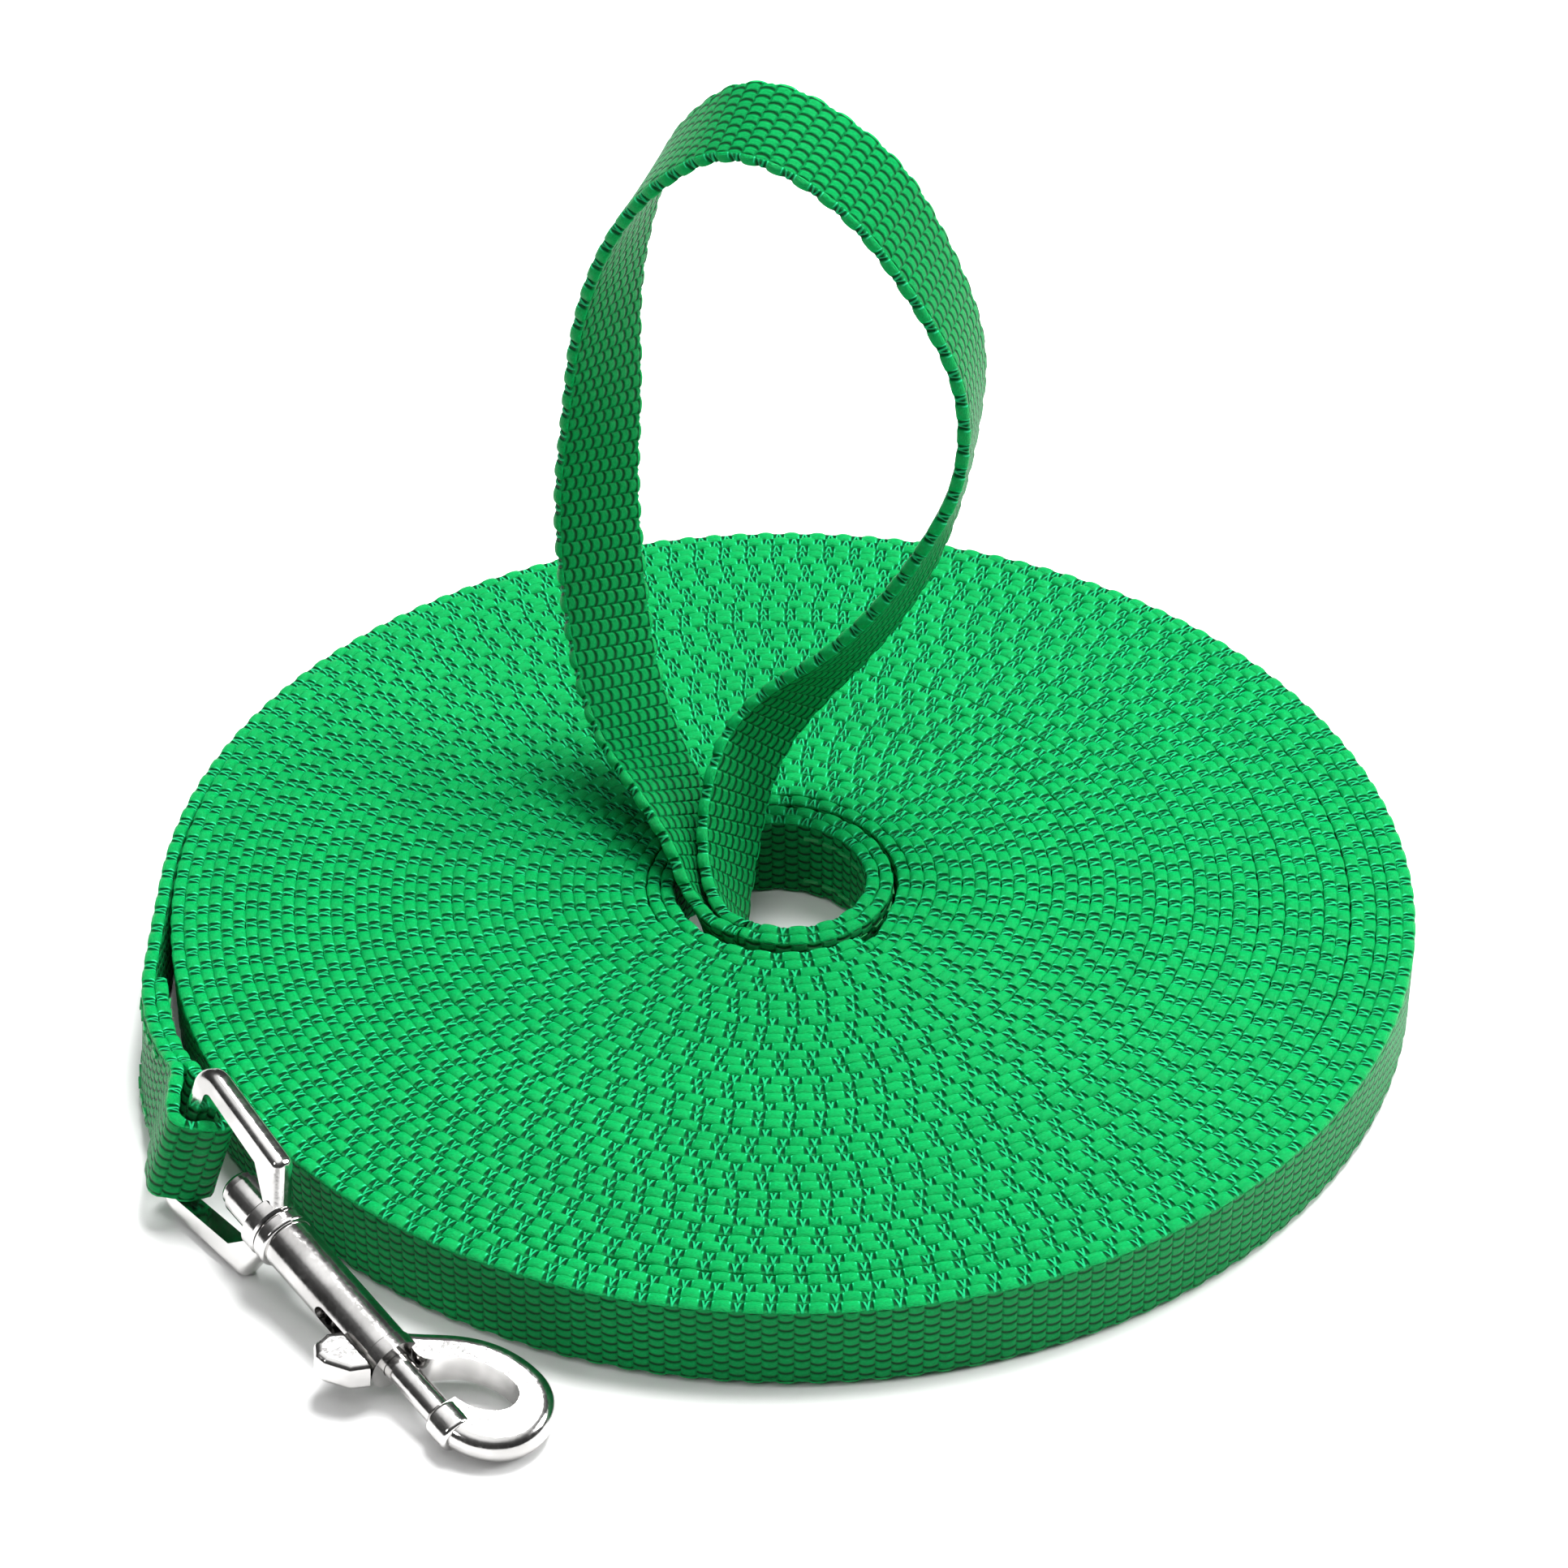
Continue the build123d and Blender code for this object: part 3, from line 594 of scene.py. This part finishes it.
lengths = np.linspace(lineLength[hemStop], lineLength[outerStart], coil["pieces"] + 1)
cuts = [int(np.searchsorted(lineLength, v)) for v in lengths]
for n, (first, last) in enumerate(zip(cuts, cuts[1:])):
    sheetPiece(f"coilTurns{n + 1}", wholeLine[first:last + 1], upright[first:last + 1],
               lineLength[first], coilProfile, replaced=("webbing_coil",))
print("coil turns made")

# doubled tape of the hand loop: outer layer goes on into the coil, inner layer ends cut
sheetPiece("hemOuterLayer", wholeLine[:hemStop + 1], upright[:hemStop + 1], 0.0, visibleProfile,
           replaced=("handle_hem",))
hemAngle = np.arange(hem["start"], hem["end"] + 0.01, degreeStep)
hemRadius = eased(atAngle(hem["innerWall"], hemAngle), coil["soften"] / degreeStep) + tape["thick"] / 2
hemLine = ring(hemAngle, hemRadius, np.full(len(hemAngle), tape["width"] / 2))
sheetPiece("hemInnerLayer", hemLine, upright[:len(hemLine)], hem["innerStart"], visibleProfile,
           replaced=("handle_hem",))
print("doubled tape made")


# hand loop
handLoop = {
    "route": [(-0.0075, -0.0122, 0.0075), (-0.0115, -0.009, 0.0076), (-0.0134, -0.0015, 0.01),
              (-0.015, 0.0052, 0.0171), (-0.0192, 0.0134, 0.0232), (-0.0243, 0.023, 0.026),
              (-0.028, 0.032, 0.033), (-0.03, 0.0395, 0.044), (-0.031, 0.044, 0.0595),
              (-0.0295, 0.045, 0.0765), (-0.0285, 0.044, 0.0945), (-0.0245, 0.0395, 0.112),
              (-0.018, 0.033, 0.1275), (-0.006, 0.0235, 0.14), (0.011, 0.0165, 0.133),
              (0.021, 0.0155, 0.1175), (0.028, 0.0155, 0.101), (0.0275, 0.017, 0.0835),
              (0.023, 0.018, 0.0685), (0.017, 0.019, 0.0555), (0.0095, 0.0205, 0.0445),
              (0.002, 0.022, 0.0365), (-0.0048, 0.0205, 0.029), (-0.0083, 0.0143, 0.0228),
              (-0.0098, 0.008, 0.0156), (-0.01, 0, 0.0098), (-0.0087, -0.0076, 0.0075),
              (-0.0065, -0.0102, 0.0075)],     # metres
    # direction of the tape's upper edge at each point of the route
    "edge": [(0, 0, 1), (-0.05, -0.2, 1), (-0.3, -0.5, 0.85), (-0.55, -0.6, 0.6), (-0.8, -0.55, 0.35),
             (-0.85, -0.45, 0.15), (-0.9, -0.4, 0.05), (-0.95, -0.3, 0.05), (-0.9, -0.4, 0.05),
             (-0.8, -0.55, 0.1), (-0.65, -0.75, 0), (-0.5, -0.85, -0.1), (-0.3, -0.9, -0.3),
             (-0.35, -0.8, -0.45), (-0.55, -0.8, -0.2), (-0.35, -0.9, -0.2), (-0.25, -0.95, -0.05),
             (-0.15, -1, -0.05), (-0.4, -0.9, 0.05), (-0.55, -0.8, 0.2), (-0.6, -0.7, 0.35),
             (-0.65, -0.55, 0.5), (-0.65, -0.45, 0.6), (-0.65, -0.4, 0.65), (-0.6, -0.4, 0.7),
             (-0.4, -0.35, 0.85), (-0.15, -0.2, 0.95), (0, 0, 1)],
    "weaveStart": 0.7,      # length, in millimetres, at which the weave begins
}


def routeLines(centrePoints, edgePoints):
    # a smooth NURBS line for the middle of the tape and one for a line along its upper edge,
    # with the given points as control points
    lines = []
    for points in (centrePoints, edgePoints):
        curve = bpy.data.curves.new("route", "CURVE")
        curve.dimensions = "3D"
        curve.resolution_u = 24
        spline = curve.splines.new("NURBS")
        spline.points.add(len(points) - 1)
        for spot, point in zip(spline.points, points):
            spot.co = (*point, 1.0)
        spline.order_u = 3
        spline.use_endpoint_u = True
        holder = bpy.data.objects.new("route", curve)
        mesh = bpy.data.meshes.new_from_object(holder)
        line = np.zeros(len(mesh.vertices) * 3)
        mesh.vertices.foreach_get("co", line)
        lines.append(line.reshape(-1, 3))
        bpy.data.objects.remove(holder)
        bpy.data.curves.remove(curve)
        bpy.data.meshes.remove(mesh)
    return lines


loopPoints = np.array(handLoop["route"], float) / mm
loopEdges = np.array(handLoop["edge"], float)
loopEdges /= np.linalg.norm(loopEdges, axis=1)[:, None]
loopCentre, loopTop = routeLines(loopPoints, loopPoints + loopEdges * 10)
loopUp = loopTop - loopCentre
loopLine, loopUp = evenly(loopCentre, loopUp, tape["step"])
loopTangent = np.gradient(loopLine, axis=0)
loopTangent /= np.linalg.norm(loopTangent, axis=1)[:, None]
loopUp -= loopTangent * np.sum(loopUp * loopTangent, 1)[:, None]
loopPiece, loopLength = tapeMesh("handLoop", loopLine, loopUp, handLoop["weaveStart"], visibleProfile)
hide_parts("handle_loop")
print("hand loop, metres:", round(loopLength * mm, 3))


# outer turn and snap end, in millimetres; middle is halfway between the two layers
snapEnd = {
    "leadX": -99.1,
    "middle": [(-97.8, -30.0, 7.7), (-96.8, -36.6, 8.2), (-94.2, -45.3, 9.8)],
    "upward": [(0.09, 0, 1), (0.18, 0, 0.98), (0.27, 0.03, 0.96)],
    "tailEnd": (-98.1, -24.0, 7.5),
    "bar": (-89.26, -59.33, 11.66),
    "barUp": (0.309, 0.074, 0.948),
    "loopRadius": 4.1,
    # the turn round the bar as (along, sideways) from the bar; the way back mirrors the
    # neck and the widest point
    "neck": ((-9.5, 1.3), (-4.5, 2.9)),       # millimetres
    "wide": (0.3, 1.03),                      # millimetres, and a share of loopRadius
    "round": ((0.98, 1.0), (0.98, -1.0)),     # shares of loopRadius
    "layers": 1.04,         # half the distance between the two layers' middles
}


def snapEndRoute():
    # out along the outer layer, round the bar of the eye, and back along the inner layer
    bar, barUp = np.array(snapEnd["bar"]), np.array(snapEnd["barUp"])
    middle = np.array(snapEnd["middle"] + [snapEnd["bar"]])
    upward = np.array(snapEnd["upward"] + [snapEnd["barUp"]])
    end = np.array(snapEnd["tailEnd"])
    ahead = np.diff(np.vstack([end, middle]), axis=0)
    ahead /= np.linalg.norm(ahead, axis=1)[:, None]
    outwards = np.cross(ahead, upward)
    outwards /= np.linalg.norm(outwards, axis=1)[:, None]
    x = snapEnd["leadX"]
    centre = [(x + 0.1, 0, 7.5), (x, -8, 7.5), (x, -16, 7.5), (x, -24, 7.5)]
    top = [(0, 0, 1)] * 4
    for n in range(3):
        centre.append(middle[n] + outwards[n] * snapEnd["layers"])
        top.append(upward[n])
    forward = np.cross(barUp, outwards[3])
    r = snapEnd["loopRadius"]
    halfTurn = list(snapEnd["neck"]) + [(snapEnd["wide"][0], snapEnd["wide"][1] * r)]
    turn = halfTurn + [(a * r, b * r) for a, b in snapEnd["round"]]
    turn += [(a, -b) for a, b in halfTurn[::-1]]
    for along, side in turn:
        centre.append(bar + forward * along + outwards[3] * side)
        top.append(barUp)
    for n in (2, 1, 0):
        centre.append(middle[n] - outwards[n] * snapEnd["layers"])
        top.append(upward[n])
    centre.append(end + np.array([snapEnd["layers"], 0, 0]))
    top.append((0, 0, 1))
    return np.array(centre, float), np.array(top, float)


endCentre, endUp = snapEndRoute()
endLine, endTop = routeLines(endCentre, endCentre + endUp * 10)
leadAngle = np.arange(coil["liftOff"] + degreeStep, 540.01, degreeStep)
leadRadius = np.linspace(turnRadius[-1], -snapEnd["leadX"] - 0.1, len(leadAngle))
leadLine = ring(leadAngle, leadRadius, np.full(len(leadAngle), tape["width"] / 2))
outerLine = np.vstack([wholeLine[outerStart:], leadLine, endLine[1:]])
outerUp = np.vstack([upright[outerStart:], np.tile([0.0, 0.0, 1.0], (len(leadLine), 1)),
                     (endTop - endLine)[1:]])
sheetPiece("outerTurnAndEnd", outerLine, outerUp, lineLength[outerStart], visibleProfile,
           replaced=("outer_lead", "snap_end_loop"))
print("outer turn and folded end made")


# metal parts keep their shapes and get a finish
for name in ("swivel_eye", "swivel_post", "snap_body", "snap_bolt", "thumb_knob"):
    nodes[name].data.materials.clear()
    nodes[name].data.materials.append(nickel)

# the spring is a helix, radius * (cos, sin) round the snap's axis, with a round wire, and
# its places are in millimetres along that axis from the hub
spring = {"hub": (-76.2, -74.7, 10.7), "axis": (0.619, -0.772, -0.142), "from": 7.8, "to": 21.7,
          "radius": 1.7, "wire": 0.22, "turns": 7, "travel": 9.5, "steps": 22, "sides": 6,
          "seat": 0.3}      # steps in a turn, sides of the wire, gap behind the first turn
sides = spring["sides"]
springAxis = np.array(spring["axis"]) / np.linalg.norm(spring["axis"])
springSide = np.cross(springAxis, (0, 0, 1.0))
springSide /= np.linalg.norm(springSide)
springTurn = np.linspace(0, spring["turns"] * 2 * math.pi, spring["turns"] * spring["steps"] + 1)
springOut = (springSide * np.cos(springTurn)[:, None]
             + np.cross(springAxis, springSide) * np.sin(springTurn)[:, None])
springReach = np.linspace(spring["from"], spring["to"], len(springTurn))
springLine = np.array(spring["hub"]) + springAxis * springReach[:, None] + springOut * spring["radius"]
wireTurn = np.arange(sides) / sides * 2 * math.pi
wireOffset = (springOut[:, None, :] * np.cos(wireTurn)[None, :, None]
              - springAxis * np.sin(wireTurn)[None, :, None]) * spring["wire"]
springPlace = (springLine[:, None, :] + wireOffset) * mm
rings = len(springTurn)
springFaces = [(i * sides + j, i * sides + (j + 1) % sides,
                (i + 1) * sides + (j + 1) % sides, (i + 1) * sides + j)
               for i in range(rings - 1) for j in range(sides)]
springFaces += [tuple(range(sides))[::-1], tuple(range((rings - 1) * sides, rings * sides))]
springMesh = bpy.data.meshes.new("boltSpringWire")
springMesh.from_pydata(springPlace.reshape(-1, 3).tolist(), [], springFaces)
springMesh.polygons.foreach_set("use_smooth", [True] * len(springFaces))
springMesh.materials.append(springSteel)
springPiece = bpy.data.objects.new("boltSpringWire", springMesh)
bpy.context.scene.collection.objects.link(springPiece)
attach(springPiece, "snap")
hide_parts("bolt_spring")
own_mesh(springPiece)
print("spring made")

for name in ("handle_stitching", "snap_end_stitching"):
    nodes[name].data.materials.clear()
    nodes[name].data.materials.append(threads)


# floor
ground = {"reach": 6, "grey": 0.86, "roughness": 0.9}
floorMaterial, _, floorShader = newMaterial("paleFloor")
floorShader.inputs["Base Color"].default_value = (ground["grey"],) * 3 + (1,)
floorShader.inputs["Roughness"].default_value = ground["roughness"]
floorMesh = bpy.data.meshes.new("floor")
reach = ground["reach"]
floorCorners = [(-reach, -reach, 0), (reach, -reach, 0), (reach, reach, 0), (-reach, reach, 0)]
floorMesh.from_pydata(floorCorners, [], [(0, 1, 2, 3)])
floorMesh.materials.append(floorMaterial)
floor = bpy.data.objects.new("floor", floorMesh)
bpy.context.scene.collection.objects.link(floor)
print("floor made")
bpy.context.scene.view_settings.view_transform = "Standard"
